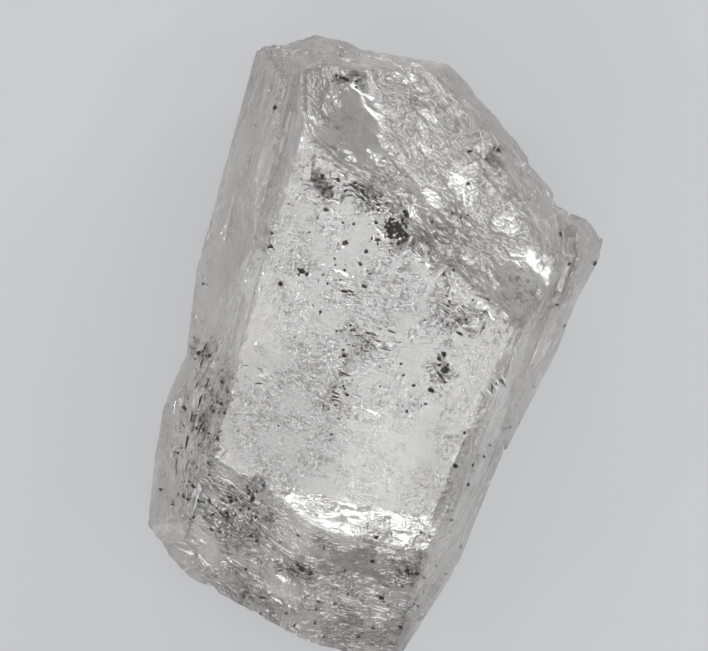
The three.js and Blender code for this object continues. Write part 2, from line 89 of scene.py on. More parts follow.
def turnedAbout(tree, where, angle):
    inputs = {"Vector": where, "Angle": angle}
    return makeNode(tree, "ShaderNodeVectorRotate", inputs, rotation_type="Z_AXIS").outputs[0]


def remap(tree, value, low, high, outLow=0.0, outHigh=1.0):
    inputs = {"Value": value, "From Min": low, "From Max": high, "To Min": outLow, "To Max": outHigh}
    return makeNode(tree, "ShaderNodeMapRange", inputs, interpolation_type="SMOOTHSTEP").outputs["Result"]


def noiseField(tree, where, scale, detail, roughness=0.55, distortion=0.0):
    inputs = {"Vector": where, "Scale": scale, "Detail": detail, "Roughness": roughness,
              "Distortion": distortion}
    return makeNode(tree, "ShaderNodeTexNoise", inputs).outputs["Fac"]


def namedField(tree, name):
    return makeNode(tree, "GeometryNodeInputNamedAttribute", {"Name": name}, data_type="FLOAT").outputs[0]


def mixColours(tree, share, first, second):
    inputs = {0: share}
    for socket, colour in ((6, first), (7, second)):
        inputs[socket] = colour if isinstance(colour, bpy.types.NodeSocket) else (*colour, 1)
    return makeNode(tree, "ShaderNodeMix", inputs, data_type="RGBA", clamp_factor=True).outputs[2]


def geometryTree(name, sizes):
    tree = bpy.data.node_groups.new(name, "GeometryNodeTree")
    tree.interface.new_socket("Geometry", in_out="INPUT", socket_type="NodeSocketGeometry")
    sockets = {}
    for size in sizes:
        socket = tree.interface.new_socket(size, in_out="INPUT", socket_type="NodeSocketFloat")
        sockets[size] = socket.identifier
    tree.interface.new_socket("Geometry", in_out="OUTPUT", socket_type="NodeSocketGeometry")
    return tree, tree.nodes.new("NodeGroupInput").outputs, sockets


def endTree(tree, geometry, material):
    realized = makeNode(tree, "GeometryNodeRealizeInstances", {0: geometry}).outputs[0]
    painted = makeNode(tree, "GeometryNodeSetMaterial", {"Geometry": realized, "Material": material})
    finish = tree.nodes.new("NodeGroupOutput")
    tree.links.new(painted.outputs[0], finish.inputs[0])


def applied(obj):
    mesh = bpy.data.meshes.new_from_object(obj.evaluated_get(bpy.context.evaluated_depsgraph_get()))
    obj.modifiers.clear()
    old = obj.data
    obj.data = mesh
    bpy.data.meshes.remove(old)


def runTree(obj, tree, sockets, sizes):
    modifier = obj.modifiers.new(tree.name, "NODES")
    modifier.node_group = tree
    for size, value in sizes.items():
        modifier[sockets[size]] = value
    applied(obj)


def meshObject(name, mesh):
    obj = bpy.data.objects.new(name, mesh)
    scene.collection.objects.link(obj)
    return obj


# The crystal: an even skin over the CAD solid, with the etching raised on it. Lengths are in millimetres.

crystalValues = {
    "skinStep": 0.0415,  # between points of the skin
    "mergeGap": 0.0002,  # corners of the solid closer than this are one
    "sharpEdge": 28,  # degrees
    "relief": {"Top Relief": 0.016, "Side Grooves": 0.022, "Break Hackle": 0.065,
               "End Relief": 0.065, "Edge Relief": 0.11},
    "breakNormal": (0.274, 0.596, 0.755),
    # how squarely a point faces each region's own way, where the region fades in and where it is full
    "topFacing": (0.94, 0.985),
    "sideFacing": (0.55, 0.85),
    "endFacing": (0.6, 0.8),
    "breakFacing": (0.88, 0.97),
    "windowCalm": (0.78, 0.92),  # from here up, calm areas lose the solid's steps as well
    # fine strokes: degrees from the camera's right, then how many to a millimetre along and across
    "topGrain": (-22, 6.0, 24.0),
    "sideGrain": (74.5, 1.6, 16.0),
    "breakGrain": (-50, 3.0, 9.0),
    "endGrain": (-22, 5.0, 7.5),
    "grainDepth": 0.6,  # strokes to a millimetre straight down, against across
    "bendScale": 1.7,  # waves that bend the strokes
    "bendReach": (3.0, 9.0, 9.0),
    "normalBlur": 14,  # rounds of blurring
    "windowBlur": 40,
    "busyNoise": (2.3, 3.0, 0.6),
    "busyRange": (0.40, 0.60, 0.25, 1.35),
}

# Noise behind each region's relief: how it is turned and stretched, its grain, the height of its ledges
# (none where it is smooth) and the level that stays where the solid has it.
reliefForms = {
    "top": dict(noise=(2.6, 4.0, 0.6), level=0.62),
    "break": dict(turn=33, stretch=(1.6, 6.5, 3.0), noise=(1.0, 3.0, 0.6, 0.5), ledge=0.06, level=0.65),
    "end": dict(noise=(5.0, 3.0, 0.6), level=0.65),
    "edges": dict(noise=(3.4, 4.0, 0.6), ledge=0.05, level=0.6),
}

# Grooves and ledges along the sides are a blend of the two.
sideForm = {"stretch": (9.0, 0.85, 9.0), "noise": (1.0, 3.0, 0.6, 0.4), "ledge": 0.07,
            "grooveShare": 0.5, "ledgeShare": 0.9, "level": 0.9}

toneValues = {
    "plainSpecks": 0.12,
    "core": 0.55,  # share of an area's size that has its full tone
    "fade": 0.75,  # share over which the tone fades out
    "lowest": 0.9,  # no area reaches below this height
}

# Places that are darker, clearer, more speckled or smoother than the rest; some hold painted shade and
# some painted highlights, as marked at their rows. Each row has the middle, right and up on the camera's
# axes, the size across and along, the turn, the shade, the specks and the calm.
toneAreas = [
    ("speckled upper half", -0.1, 1.15, 1.35, 1.15, -20, 0.22, 0.48, 0.0),
    ("speckled middle", 0.15, -0.1, 1.1, 0.9, -10, 0.2, 0.38, 0.0),
    ("foot of the top", -1.1, -1.0, 0.9, 1.1, 0, 0.6, 0.28, 0.0),
    ("top, lower right", 0.95, -1.6, 0.45, 0.8, -20, 0.36, 0.24, 0.0),
    ("end, all", -0.75, -3.2, 1.7, 0.8, -12, 0.34, 0.42, 0.0),
    ("left, lower part", -2.3, -1.3, 0.4, 1.3, -14, 0.1, 0.5, 0.0),
    # painted light: a clearer colour to brighten the steep upper left face, which gets little light
    ("left, upper part", -2.0, 2.4, 0.6, 1.1, -14, -0.2, 0.1, 0.4),
    ("left band", -1.5, 0.8, 2.9, 0.15, 79, 0.0, 0.06, 0.5),
    # painted light: a clearer colour to brighten the steep top end, which gets little light
    ("top end", -0.8, 3.85, 1.5, 0.3, -8, -0.25, 0.06, 0.3),
    # painted shade: the smooth window's colour darkened, on top of the dark it mirrors
    ("dark window", -0.27, 2.93, 0.44, 0.58, -8, 0.42, 0.1, 0.97),
    ("window cluster", -0.38, 3.5, 0.2, 0.09, -4, 0.45, 0.9, 0.0),
    # the next two rows are painted highlights: a clearer colour where the break's facets glint in the
    # light
    ("break, painted glints", 0.82, 2.42, 0.55, 0.45, -30, -0.3, 0.2, 0.0),
    ("break, upper painted glints", 0.75, 3.2, 0.6, 0.3, -35, -0.22, 0.1, 0.0),
    ("break, lower dark", 1.05, 1.65, 0.52, 0.22, -6, 0.38, 0.4, 0.5),
    ("break, outer patch", 1.65, 1.95, 0.35, 0.45, -40, -0.12, 0.1, 0.0),
    # painted shade: the smooth patch's colour darkened, on top of the dark it mirrors
    ("right patch", 1.95, 0.72, 0.5, 0.5, 0, 0.42, 0.15, 0.97),
    ("dark outer spot", 1.62, 2.57, 0.13, 0.13, 0, 0.5, 0.8, 0.0),
    ("arc under the break", -0.4, 1.98, 0.66, 0.15, -20, 0.22, 0.8, 0.0),
    ("bright arc", -0.22, 2.22, 0.42, 0.08, -30, -0.25, 0.0, 0.0),
    ("middle cluster", 0.28, 1.5, 0.28, 0.17, -30, 0.6, 1.0, 0.0),
    ("cluster tail", 0.75, 1.25, 0.45, 0.2, -35, 0.25, 0.7, 0.0),
    ("upper clear part", -0.55, 1.55, 0.45, 0.28, 0, -0.12, 0.2, 0.0),
    ("speckled middle right", 1.15, 0.35, 0.45, 0.32, -25, 0.2, 0.9, 0.0),
    ("dark streak, top", -0.22, -0.05, 0.24, 0.3, -32, 0.44, 0.9, 0.0),
    ("dark streak, foot", -0.52, -0.52, 0.075, 0.46, -27, 0.62, 0.6, 0.0),
    ("right knot", 0.88, -0.33, 0.14, 0.16, 20, 0.5, 0.9, 0.0),
    ("upper left, greyed", -1.05, 1.35, 0.42, 0.6, -14, 0.14, 0.4, 0.0),
    ("clear lower part", 0.0, -1.45, 0.5, 0.75, 0, -0.12, 0.05, 0.0),
    ("outer rim", 1.7, 2.65, 0.16, 1.0, 35, 0.12, 0.1, 0.7),
    # painted highlight: a clearer colour on the left of the bevel, to brighten the bevel's reflection of
    # the light
    ("bevel, left", -0.98, -2.35, 0.34, 0.32, -15, -0.3, 0.1, 0.3),
    ("bevel", -0.3, -2.45, 1.1, 0.22, -10, 0.0, 0.05, 0.35),
    # painted shade: a darker colour to dim the bevel's highlight on the right
    ("bevel, right", 0.32, -2.56, 0.5, 0.16, -5, 0.1, 0.4, 0.0),
    # painted highlight: a clearer colour where the bevel's plate shines white
    ("bevel plate", -0.52, -2.38, 0.26, 0.22, -15, -0.3, 0.0, 0.7),
    ("end, dark corner", -1.8, -2.28, 0.55, 0.45, -20, 0.45, 1.0, 0.0),
    ("end, dark plate", -0.33, -2.89, 0.46, 0.24, -4, 0.5, 0.3, 0.7),
    # painted highlight: a clearer colour where the end face's facets glint in the light
    ("end, painted glints", -1.1, -2.62, 0.24, 0.2, 0, -0.35, 0.4, 0.0),
    ("end, dark middle", -0.98, -3.02, 0.24, 0.14, -20, 0.5, 0.9, 0.0),
    ("end, left foot", -1.75, -2.95, 0.45, 0.2, -30, 0.22, 0.4, 0.0),
    ("end, left rim", -1.62, -3.38, 0.75, 0.2, -30, 0.4, 0.3, 0.0),
    ("end, right corner", 0.48, -3.0, 0.22, 0.25, -10, 0.4, 0.8, 0.0),
    ("end, cream band", -1.33, -3.26, 0.4, 0.13, -15, -0.35, 0.1, 0.4),
    ("end, pale strokes", 0.0, -3.56, 0.32, 0.16, -22, -0.28, 0.2, 0.0),
    ("end, foot", 0.0, -3.9, 0.9, 0.28, -12, 0.5, 0.3, 0.0),
    ("left streaks", -2.08, -0.8, 0.15, 0.55, -16, 0.3, 0.7, 0.0),
    ("left knot", -2.26, -0.12, 0.14, 0.24, -16, 0.35, 0.9, 0.0),
    ("right strip shadow", 1.7, -1.38, 0.2, 0.5, -32, 0.36, 0.1, 0.0),
]


def skinOver(node):
    mesh = node.data.copy()
    mesh.transform(Matrix.Scale(1 / mm, 4))
    mesh.materials.clear()
    whole = bmesh.new()
    whole.from_mesh(mesh)
    bmesh.ops.remove_doubles(whole, verts=whole.verts, dist=crystalValues["mergeGap"])
    whole.to_mesh(mesh)
    whole.free()
    target = meshObject("cadForm", mesh)
    skin = meshObject("crystal", mesh.copy())
    remesh = skin.modifiers.new("skin", "REMESH")
    remesh.mode = "VOXEL"
    remesh.voxel_size = crystalValues["skinStep"]
    wrap = skin.modifiers.new("wrap", "SHRINKWRAP")
    wrap.target = target
    wrap.wrap_method = "NEAREST_SURFACEPOINT"
    applied(skin)
    bpy.data.objects.remove(target)
    return skin


def paintTones(mesh):
    count = len(mesh.vertices)
    places = np.empty(count * 3, np.float32)
    mesh.vertices.foreach_get("co", places)
    places = places.reshape(-1, 3)
    x, y = places[:, 0] - cameraMiddle[0], places[:, 1] - cameraMiddle[1]
    right = x * math.cos(cameraTurn) + y * math.sin(cameraTurn)
    up = y * math.cos(cameraTurn) - x * math.sin(cameraTurn)
    # two waves each way, up to a tenth of a millimetre, make the areas ragged
    sway = 0.07 * np.sin(9.1 * up + 2.3 * np.sin(6.7 * right)) + 0.045 * np.sin(23.0 * up + 19.0 * right)
    rise = 0.09 * np.sin(8.3 * right + 1.9 * np.sin(7.9 * up)) + 0.04 * np.sin(27.0 * right)
    right, up = right + sway, up + rise
    tones = {tone: np.zeros(count) for tone in ("shade", "specks", "calm")}
    tones["specks"] += toneValues["plainSpecks"]
    for _, atRight, atUp, wide, tall, turn, shade, specks, calm in toneAreas:
        angle = math.radians(turn)
        across, along = right - atRight, up - atUp
        u = (across * math.cos(angle) + along * math.sin(angle)) / wide
        v = (along * math.cos(angle) - across * math.sin(angle)) / tall
        near = 1 - np.clip((np.hypot(u, v) - toneValues["core"]) / toneValues["fade"], 0, 1)
        near = near * near * (3 - 2 * near) * (places[:, 2] > toneValues["lowest"])
        # shade adds up: the crystal's own dark marks, and painted shade and painted highlights where the
        # table puts them; a negative shade clears the colour
        tones["shade"] += shade * near
        tones["specks"] += (specks - tones["specks"]) * near
        tones["calm"] += (calm - tones["calm"]) * near
    for tone, values in tones.items():
        layer = mesh.attributes.new(tone, "FLOAT", "POINT")
        layer.data.foreach_set("value", values.astype(np.float32))


# Where the fine strokes of the finish are drawn: each region turns and stretches them its own way.
def grainField(tree, where, sides, broken, end):
    def drawn(turn, along, across):
        turned = turnedAbout(tree, where, math.radians(-turn) - cameraTurn)
        return vectorMaths(tree, "MULTIPLY", turned, (along, across, across * crystalValues["grainDepth"]))

    field = drawn(*crystalValues["topGrain"])
    for grain, mask in (("sideGrain", sides), ("breakGrain", broken), ("endGrain", end)):
        inputs = {"Factor": mask, 4: field, 5: drawn(*crystalValues[grain])}
        field = makeNode(tree, "ShaderNodeMix", inputs, data_type="VECTOR").outputs[1]
    inputs = {"Vector": where, "Scale": crystalValues["bendScale"], "Detail": 2.0}
    bend = makeNode(tree, "ShaderNodeTexNoise", inputs).outputs["Color"]
    return vectorMaths(tree, "ADD", field, vectorMaths(tree, "MULTIPLY", bend, crystalValues["bendReach"]))


def heightOf(tree, where, form):
    if "turn" in form:
        where = turnedAbout(tree, where, math.radians(form["turn"]))
    if "stretch" in form:
        where = vectorMaths(tree, "MULTIPLY", where, form["stretch"])
    height = noiseField(tree, where, *form["noise"])
    if "ledge" in form:
        height = maths(tree, "SNAP", height, form["ledge"])
    return maths(tree, "SUBTRACT", height, form["level"])


def sideHeight(tree, where):
    stretched = vectorMaths(tree, "MULTIPLY", where, sideForm["stretch"])
    grooves = noiseField(tree, stretched, *sideForm["noise"])
    ledges = times(tree, maths(tree, "SNAP", grooves, sideForm["ledge"]), sideForm["ledgeShare"])
    blend = total(tree, times(tree, grooves, sideForm["grooveShare"]), ledges)
    return maths(tree, "SUBTRACT", blend, sideForm["level"])


def blurred(tree, value, iterations, weight=1.0):
    inputs = {"Iterations": iterations, "Weight": weight}
    node = makeNode(tree, "GeometryNodeBlurAttribute", inputs, data_type="FLOAT_VECTOR")
    tree.links.new(value, node.inputs["Value"])
    return node.outputs["Value"]


def reliefTree(material):
    tree, start, sockets = geometryTree("etchedRelief", crystalValues["relief"])
    where = tree.nodes.new("GeometryNodeInputPosition").outputs[0]
    normal = tree.nodes.new("GeometryNodeInputNormal").outputs[0]
    calmNormal = vectorMaths(tree, "NORMALIZE", blurred(tree, normal, crystalValues["normalBlur"]))
    facing = makeNode(tree, "ShaderNodeSeparateXYZ", {"Vector": calmNormal}).outputs
    left, foot = [times(tree, facing[axis], -1.0) for axis in ("X", "Y")]
    top = remap(tree, facing["Z"], *crystalValues["topFacing"])
    sides = largest(tree, *[remap(tree, way, *crystalValues["sideFacing"]) for way in (left, facing["X"])])
    end = remap(tree, foot, *crystalValues["endFacing"])
    along = vectorMaths(tree, "DOT_PRODUCT", calmNormal, crystalValues["breakNormal"])
    broken = remap(tree, along, *crystalValues["breakFacing"])
    edges = maths(tree, "SUBTRACT", 1.0, largest(tree, top, sides, broken, end))
    calm = namedField(tree, "calm")
    rugged = times(tree, broken, maths(tree, "SUBTRACT", 1.0, calm))

    height = total(
        tree,
        times(tree, heightOf(tree, where, reliefForms["top"]), top, start["Top Relief"]),
        times(tree, sideHeight(tree, where), sides, start["Side Grooves"]),
        times(tree, heightOf(tree, where, reliefForms["break"]), rugged, start["Break Hackle"]),
        times(tree, heightOf(tree, where, reliefForms["end"]), end, start["End Relief"]),
        times(tree, heightOf(tree, where, reliefForms["edges"]), edges, start["Edge Relief"]))
    offset = makeNode(tree, "ShaderNodeVectorMath", {0: normal, 3: height}, operation="SCALE").outputs[0]
    windows = remap(tree, calm, *crystalValues["windowCalm"])
    smoothed = blurred(tree, where, crystalValues["windowBlur"], windows)
    inputs = {"Geometry": start["Geometry"], "Position": smoothed, "Offset": offset}
    flow = makeNode(tree, "GeometryNodeSetPosition", inputs).outputs[0]

    busy = noiseField(tree, where, *crystalValues["busyNoise"])
    busy = remap(tree, busy, *crystalValues["busyRange"])
    grain = grainField(tree, where, sides, broken, end)
    for name, kind, field in (("busy", "FLOAT", busy), ("end", "FLOAT", end), ("broken", "FLOAT", broken),
                              ("grain", "FLOAT_VECTOR", grain)):
        inputs = {"Geometry": flow, "Name": name}
        store = makeNode(tree, "GeometryNodeStoreNamedAttribute", inputs, domain="POINT", data_type=kind)
        tree.links.new(field, store.inputs["Value"])
        flow = store.outputs[0]
    endTree(tree, flow, material)
    return tree, sockets


# The crystal's finish: clear, with fine dark strokes and spots etched where the areas above put them, and
# their shade, which in places is painted shade and painted highlight.

finishValues = {
    "tint": (0.97, 0.965, 0.955),
    "endTint": (0.86, 0.82, 0.77),
    "dark": (0.05, 0.042, 0.036),
    "ior": 2.417,
    "absorption": (0.86, 0.82, 0.76),
    "density": 70.0,
    # marks to a metre of the field they are drawn in, detail and raggedness
    "strokeNoise": (1.0, 2.0, 0.6),
    "spotNoise": (17000.0, 2.0, 0.65),
    "strokeEdges": (0.49, 0.35),  # where the noise turns from clear to dark
    "spotEdges": (0.50, 0.35),
    "strokeDark": 0.6,
    "spotDark": 0.9,
    "bumpHeight": 0.05,  # mm
    "crowding": (1.35, 0.2),  # how specks strengthen the marks, and the marks where there are none
    "plainDark": 0.05,
    "plainRough": 0.22,
    "roughSpecks": 0.5,
    "roughBreak": 0.9,
    "roughEnd": 0.8,
    "strokeWeight": (-0.65, 0.9),  # the change towards the end face, and the weight elsewhere
    "roughness": (0.35, 0.65, 0.1, 0.17),  # the noise between which it changes, and what it is there
    "calmRoughness": 0.05,
}


def crystalMaterial():
    material = bpy.data.materials.new("etchedDiamond")
    material.use_nodes = True
    tree = material.node_tree
    tree.nodes.clear()
    where = makeNode(tree, "ShaderNodeTexCoord").outputs["Object"]
    areas = {n: makeNode(tree, "ShaderNodeAttribute", attribute_name=n).outputs["Fac"]
             for n in ("busy", "end", "broken", "shade", "specks", "calm")}
    grain = makeNode(tree, "ShaderNodeAttribute", attribute_name="grain").outputs["Vector"]
    strokes = noiseField(tree, grain, *finishValues["strokeNoise"])
    spots = noiseField(tree, where, *finishValues["spotNoise"])

    darkStrokes = remap(tree, strokes, *finishValues["strokeEdges"])
    darkStrokes = times(tree, darkStrokes, finishValues["strokeDark"])
    darkSpots = remap(tree, spots, *finishValues["spotEdges"])
    darkSpots = times(tree, darkSpots, finishValues["spotDark"])
    crowd = maths(tree, "MULTIPLY_ADD", areas["specks"], *finishValues["crowding"])
    marks = times(tree, areas["busy"], total(tree, darkStrokes, darkSpots))
    # the areas' shade: the crystal's own dark marks, and painted shade and painted highlights where the
    # table puts them
    dark = total(tree, times(tree, marks, crowd), areas["shade"], finishValues["plainDark"])
    clear = mixColours(tree, areas["end"], finishValues["tint"], finishValues["endTint"])
    colour = mixColours(tree, dark, clear, finishValues["dark"])

    rough = total(tree, finishValues["plainRough"],
                  times(tree, areas["specks"], finishValues["roughSpecks"]),
                  times(tree, areas["broken"], finishValues["roughBreak"]),
                  times(tree, areas["end"], finishValues["roughEnd"]))
    rough = times(tree, rough, areas["busy"], maths(tree, "SUBTRACT", 1.0, areas["calm"]))
    strokeWeight = maths(tree, "MULTIPLY_ADD", areas["end"], *finishValues["strokeWeight"])
    height = times(tree, total(tree, times(tree, strokes, strokeWeight), spots), rough)
    bump = makeNode(tree, "ShaderNodeBump", {
        "Height": height, "Strength": 1.0, "Distance": finishValues["bumpHeight"] * mm})
    roughness = total(tree, remap(tree, strokes, *finishValues["roughness"]),
                      times(tree, areas["calm"], finishValues["calmRoughness"]))
    shader = makeNode(tree, "ShaderNodeBsdfPrincipled", {
        "Base Color": colour, "Roughness": roughness, "Normal": bump.outputs[0],
        "IOR": finishValues["ior"], "Transmission Weight": 1.0})
    volume = makeNode(tree, "ShaderNodeVolumeAbsorption", {
        "Color": (*finishValues["absorption"], 1), "Density": finishValues["density"]})
    outputs = {"Surface": shader.outputs[0], "Volume": volume.outputs[0]}
    makeNode(tree, "ShaderNodeOutputMaterial", outputs)
    return material


skin = skinOver(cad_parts["rough_diamond"])
print("skin made", len(skin.data.polygons))
paintTones(skin.data)
runTree(skin, *reliefTree(crystalMaterial()), crystalValues["relief"])
skin.data.transform(Matrix.Scale(mm, 4))
for face in skin.data.polygons:
    face.use_smooth = True
skin.data.set_sharp_from_angle(angle=math.radians(crystalValues["sharpEdge"]))
skin.name = skin.data.name = "crystal"
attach(skin, "root")
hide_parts("rough_diamond")
print("crystal finished", sum(len(f.vertices) - 2 for f in skin.data.polygons), "triangles")


# Dark mineral grains, pale splinters and pale flakes that are painted glints, half sunk in the crystal's
# surface.

grainValues = {
    # grains to a square metre, and their sizes
    "scatter": {"Density": 3.0e8, "Smallest": 0.005 * mm, "Largest": 0.026 * mm},
    "clumpNoise": (5200.0, 2.0),
    "clumpEdges": (0.42, 0.6),
    "speckPower": 2.0,
    "sizePower": 3.0,  # most are small
    "stretch": (0.45, 1.9),
    "turn": (0.0, 6.3),
    "seeds": dict(points=11, size=8, stretch=4, turn=3),
    "formSeed": 5,
    "shapeSeed": 6,
    "sink": 0.3,  # how thick a laid grain is, against its width
    "above": 6,  # mm over the floor, from where laid grains are dropped on the crystal
    # the least of a random share, and what chance adds to it
    "lengthShare": (0.3, 0.7),
    "formShare": (0.75, 0.5),
    "cornerShare": (0.7, 0.6),
    "crowdSpread": 0.6,
    "patchDetail": 2.0,
    "patchRange": (0.3, 0.7),
    # the shades that one grain runs between, where its noise changes, roughness and shine
    "mineral": dict(colours=((0.012, 0.010, 0.010), (0.040, 0.032, 0.027)), scale=900.0,
                    edges=(0.42, 0.62), roughness=(0.6, 0.8), shine=0.2),
    # the pale colours serve the frosted slivers and the flakes, which are painted glints
    "frostAndGlint": dict(colours=((0.36, 0.36, 0.355), (0.62, 0.62, 0.61)), scale=3000.0,
                  edges=(0.4, 0.6), roughness=(0.3, 0.5), shine=0.5),
    # each kind of crowd: seed, width against length, and how far the turns wander in degrees
    "grains": (7, 0.4, 35),
    "strokes": (8, 0.09, 5),
    "slivers": (9, 0.07, 9),
    # the flakes are painted glints
    "flakes": (10, 0.35, 40),
}

# The larger grains: millimetres along the camera's axes, then length, width and turn.
largeGrains = [
    (0.30, 1.57, 0.16, 0.09, -30), (0.20, 1.48, 0.10, 0.07, 20), (0.40, 1.45, 0.11, 0.06, -50),
    (0.14, 1.55, 0.07, 0.05, 0), (0.36, 1.64, 0.08, 0.05, 60), (0.03, 1.38, 0.07, 0.05, 10),
    (-0.40, 1.34, 0.09, 0.07, 0), (-0.97, 0.97, 0.09, 0.07, -10), (-0.90, 0.94, 0.07, 0.04, -30),
    (-1.38, 1.29, 0.09, 0.05, -15), (-0.42, 0.71, 0.12, 0.04, -12), (-0.15, 0.78, 0.09, 0.05, -20),
    (-0.30, 0.20, 0.10, 0.035, -14), (-0.10, 0.16, 0.09, 0.03, -18), (0.92, -0.34, 0.10, 0.06, 40),
    (0.84, -0.26, 0.07, 0.05, 0), (0.50, -0.53, 0.07, 0.04, -10), (0.66, -0.77, 0.06, 0.04, 0),
    (1.17, -1.15, 0.06, 0.05, 0), (-0.04, -2.85, 0.10, 0.09, 8), (-0.98, -2.96, 0.11, 0.09, -20),
    (-0.86, -3.03, 0.09, 0.08, 30), (-0.75, -3.41, 0.07, 0.06, 0), (-1.48, -3.37, 0.07, 0.05, 0),
    (-0.03, -3.77, 0.08, 0.05, -20), (0.08, -3.35, 0.10, 0.07, 10), (0.42, -2.98, 0.10, 0.07, 60),
    (-1.90, -2.05, 0.10, 0.07, 20), (-2.02, -2.24, 0.09, 0.05, -30), (-1.62, -2.02, 0.08, 0.05, 0),
    (-0.42, 3.52, 0.12, 0.05, -5), (-0.25, 3.48, 0.08, 0.04, -20), (1.63, 2.58, 0.09, 0.06, 30),
    (2.46, 1.47, 0.08, 0.05, 70), (1.22, 2.13, 0.07, 0.05, 0), (-2.26, -0.05, 0.11, 0.06, 70),
    (-2.30, -0.24, 0.09, 0.05, 80), (-1.33, 3.13, 0.08, 0.05, 0), (0.75, 1.62, 0.06, 0.05, 0),
]

# Crowds of smaller grains: middle, spread along and across, turn, number and longest grain.
grainCrowds = [
    (0.28, 1.53, 0.15, 0.09, -35, 48, 0.12), (-0.05, 1.42, 0.16, 0.07, -20, 8, 0.06),
    (-0.12, 2.02, 0.34, 0.05, -27, 20, 0.07), (-0.60, 2.00, 0.14, 0.10, 10, 12, 0.07),
    (-1.38, 1.29, 0.09, 0.06, 0, 7, 0.07), (-0.95, 0.96, 0.08, 0.05, -15, 9, 0.07),
    (-0.28, 0.70, 0.20, 0.05, -25, 9, 0.07), (0.90, -0.33, 0.09, 0.10, 10, 14, 0.07),
    (1.10, 0.42, 0.32, 0.12, -30, 14, 0.06), (0.70, 1.22, 0.30, 0.08, -35, 12, 0.05),
    (-1.95, -2.15, 0.28, 0.20, -20, 30, 0.08), (-0.92, -3.00, 0.09, 0.11, 0, 12, 0.09),
    (0.08, -3.35, 0.10, 0.08, 0, 10, 0.07), (0.45, -3.00, 0.13, 0.12, -20, 12, 0.07),
    (-0.40, 3.50, 0.18, 0.06, -5, 12, 0.07), (-2.28, -0.12, 0.07, 0.22, -16, 12, 0.07),
    (-2.12, -1.0, 0.10, 0.34, -16, 14, 0.06), (1.62, 2.58, 0.08, 0.08, 0, 7, 0.06),
    (-0.30, -0.05, 0.13, 0.22, -30, 14, 0.06), (-0.52, -0.62, 0.05, 0.22, -28, 8, 0.05),
]

# Crowds of long thin grains, which fill the etched strokes: the same values.
strokeCrowds = [
    (-0.06, 0.08, 0.26, 0.17, -13, 20, 0.22), (-0.45, -0.42, 0.05, 0.33, -20, 16, 0.16),
    (-0.54, -0.58, 0.36, 0.10, 56, 9, 0.09), (-0.60, 2.12, 0.30, 0.09, -12, 20, 0.17),
    (-0.12, 1.97, 0.28, 0.09, -36, 26, 0.20), (-0.78, 2.02, 0.22, 0.05, 24, 9, 0.14),
    (-2.45, -1.2, 0.95, 0.13, 74.5, 36, 0.24), (-2.32, 1.3, 0.85, 0.12, 74.5, 12, 0.13),
    (1.10, 0.35, 0.30, 0.14, -35, 14, 0.18), (1.62, -0.50, 0.05, 0.16, -55, 8, 0.20),
    (0.90, -0.40, 0.10, 0.16, -38, 8, 0.16), (-0.30, -1.10, 0.50, 0.45, -25, 8, 0.11),
    (-1.45, -0.35, 0.30, 0.25, -14, 10, 0.16), (0.62, -0.80, 0.03, 0.10, 80, 4, 0.12),
]

# Pale frosted slivers, where the surface is scratched or splintered: the same values.
sliverCrowds = [
    (-1.45, -0.45, 0.16, 0.22, -14, 16, 0.14), (-0.35, -1.95, 0.28, 0.12, -25, 10, 0.22),
    (0.0, -3.56, 0.22, 0.12, -24, 14, 0.26), (1.62, -0.52, 0.06, 0.18, -55, 9, 0.22),
    (-0.25, 2.20, 0.30, 0.05, -28, 16, 0.20), (0.80, 3.05, 0.25, 0.25, -50, 24, 0.22),
    (0.75, 2.45, 0.38, 0.25, -45, 24, 0.15), (1.85, 1.60, 0.30, 0.20, -60, 10, 0.13),
    (-1.30, -2.50, 0.35, 0.10, -20, 12, 0.12), (-1.90, -2.20, 0.26, 0.22, 0, 18, 0.10),
    (-2.30, -1.60, 0.70, 0.10, 74.5, 14, 0.20), (-1.72, 0.90, 0.90, 0.06, 76, 14, 0.20),
    (-0.70, -3.10, 0.60, 0.30, -30, 22, 0.12), (0.20, 1.10, 0.60, 0.40, -30, 24, 0.05),
    (1.10, 0.10, 0.40, 0.30, -40, 16, 0.09), (0.10, 0.05, 0.35, 0.20, -14, 10, 0.08),
    (-0.30, 3.75, 0.70, 0.12, -8, 14, 0.12), (1.60, -1.60, 0.90, 0.06, 66, 12, 0.16),
    (-2.15, 2.10, 0.80, 0.16, 76, 30, 0.16), (-1.25, 3.88, 0.25, 0.10, 0, 22, 0.10),
    (2.35, -0.07, 0.45, 0.05, 63, 14, 0.14), (2.70, 1.35, 0.16, 0.14, 70, 12, 0.12),
]

# Small pale flats, painted glints where the end face and the break catch the light: the same values.
paintedGlintCrowds = [
    (-1.95, -2.22, 0.30, 0.22, 10, 30, 0.085), (-1.15, -2.58, 0.24, 0.20, 70, 26, 0.10),
    (-0.20, -3.15, 0.45, 0.22, 0, 22, 0.06), (-1.35, -3.26, 0.34, 0.07, -18, 16, 0.08),
    (0.72, 2.60, 0.50, 0.35, -45, 40, 0.07), (-1.25, 3.90, 0.30, 0.14, 0, 16, 0.07),
]


def crowded(crowds, seed, slender, wander):
    rng = np.random.default_rng(seed)
    spread, (least, more) = grainValues["crowdSpread"], grainValues["lengthShare"]
    for right, up, wide, tall, turn, count, longest in crowds:
        angle = math.radians(turn)
        for _ in range(count):
            u, v = rng.normal(0, wide * spread), rng.normal(0, tall * spread)
            length = longest * (least + more * rng.random() ** 2)
            atRight = right + u * math.cos(angle) - v * math.sin(angle)
            atUp = up + u * math.sin(angle) + v * math.cos(angle)
            width = length * slender * (1 + rng.random())
            yield atRight, atUp, length, width, turn + rng.normal(0, wander)


